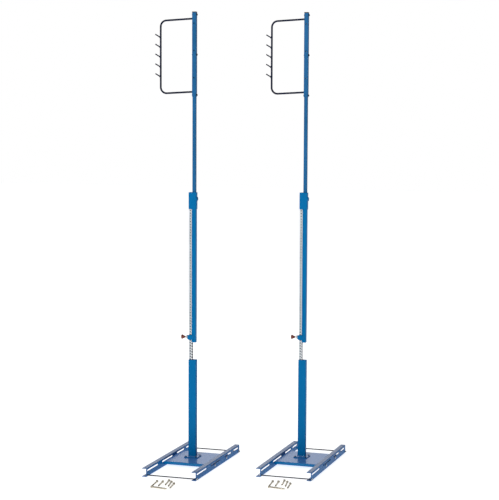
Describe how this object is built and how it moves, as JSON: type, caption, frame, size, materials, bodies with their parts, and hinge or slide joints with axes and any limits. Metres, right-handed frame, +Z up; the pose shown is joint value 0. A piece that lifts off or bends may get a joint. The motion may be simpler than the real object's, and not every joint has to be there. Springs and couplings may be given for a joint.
{
  "type": "volleyball net post pair",
  "caption": "Pair of free-standing volleyball net posts with sliding height latch, hooked bracket loops, railed bases and loose ground pegs.",
  "frame": {"origin": "bottom centre of the box around both posts, on the floor", "axes": "+X along the net line from the left post to the right post, +Z up, -Y towards the ends of the bases where the ground pegs lie"},
  "size_m": [0.9584, 1.1112, 2.441],
  "materials": {
    "blue_paint": "gloss powder coat",
    "navy_paint": "satin powder coat",
    "galvanised_steel": "galvanised",
    "zinc_steel": "bright zinc",
    "black_steel": "black oxide",
    "black_plastic": "moulded",
    "knob_plastic": "moulded, worn",
    "peg_steel": "yellow-grey zinc"
  },
  "bodies": {
    "root": {"left_base_plate": "blue_paint", "left_base_rail_a": "blue_paint", "left_base_rail_b": "blue_paint", "left_front_tie_rod": "zinc_steel", "left_rear_tie_rod": "zinc_steel", "left_tie_rod_nuts": "zinc_steel", "left_plate_fasteners": "zinc_steel", "left_foot_flange": "blue_paint", "left_foot_bolts": "zinc_steel", "left_lower_mast": "blue_paint", "left_height_strip": "galvanised_steel", "left_strip_rivets": "galvanised_steel", "left_collar": "blue_paint", "left_collar_guide_pads": "black_plastic", "left_clamp_nut": "blue_paint", "left_ground_pegs": "peg_steel", "right_base_plate": "blue_paint", "right_base_rail_a": "blue_paint", "right_base_rail_b": "blue_paint", "right_front_tie_rod": "zinc_steel", "right_rear_tie_rod": "zinc_steel", "right_tie_rod_nuts": "zinc_steel", "right_plate_fasteners": "zinc_steel", "right_foot_flange": "blue_paint", "right_foot_bolts": "zinc_steel", "right_lower_mast": "blue_paint", "right_height_strip": "galvanised_steel", "right_strip_rivets": "galvanised_steel", "right_collar": "blue_paint", "right_collar_guide_pads": "black_plastic", "right_clamp_nut": "blue_paint", "right_ground_pegs": "peg_steel"},
    "left_carriage": {"left_carriage_tube": "blue_paint", "left_upper_tube": "blue_paint", "left_bracket_sleeve": "blue_paint", "left_sleeve_cap": "black_plastic", "left_bracket_bolts": "black_steel", "left_bracket_nuts": "black_steel", "left_hook_loop": "navy_paint", "left_hook_pegs": "navy_paint", "left_latch_housing": "blue_paint", "left_plunger_body": "zinc_steel", "left_plunger_spring": "zinc_steel"},
    "left_plunger": {"left_plunger_pin": "zinc_steel", "left_plunger_knob": "knob_plastic"},
    "left_clamp": {"left_clamp_screw": "black_steel"},
    "right_carriage": {"right_carriage_tube": "blue_paint", "right_upper_tube": "blue_paint", "right_bracket_sleeve": "blue_paint", "right_sleeve_cap": "black_plastic", "right_bracket_bolts": "black_steel", "right_bracket_nuts": "black_steel", "right_hook_loop": "navy_paint", "right_hook_pegs": "navy_paint", "right_latch_housing": "blue_paint", "right_plunger_body": "zinc_steel", "right_plunger_spring": "zinc_steel"},
    "right_plunger": {"right_plunger_pin": "zinc_steel", "right_plunger_knob": "knob_plastic"},
    "right_clamp": {"right_clamp_screw": "black_steel"}
  },
  "joints": [
    {"name": "left_height_slide", "type": "slide", "parent": "root", "child": "left_carriage", "axis": [0, 0, 1], "range_m": [-0.09, 0.63]},
    {"name": "left_plunger_pull", "type": "slide", "parent": "left_carriage", "child": "left_plunger", "axis": [-1, 0, 0], "range_m": [0, 0.006], "stiffness_N_per_m": 900, "springref_m": -0.004, "deforming": ["left_plunger_spring"]},
    {"name": "left_clamp_turn", "type": "hinge", "parent": "root", "child": "left_clamp", "pos_m": [-0.23683, 0.06057, 1.443], "axis": [1, 0, 0], "range_deg": [0, 270]},
    {"name": "right_height_slide", "type": "slide", "parent": "root", "child": "right_carriage", "axis": [0, 0, 1], "range_m": [-0.09, 0.63]},
    {"name": "right_plunger_pull", "type": "slide", "parent": "right_carriage", "child": "right_plunger", "axis": [-1, 0, 0], "range_m": [0, 0.006], "stiffness_N_per_m": 900, "springref_m": -0.004, "deforming": ["right_plunger_spring"]},
    {"name": "right_clamp_turn", "type": "hinge", "parent": "root", "child": "right_clamp", "pos_m": [0.32817, 0.25557, 1.443], "axis": [1, 0, 0], "range_deg": [0, 270]}
  ]
}
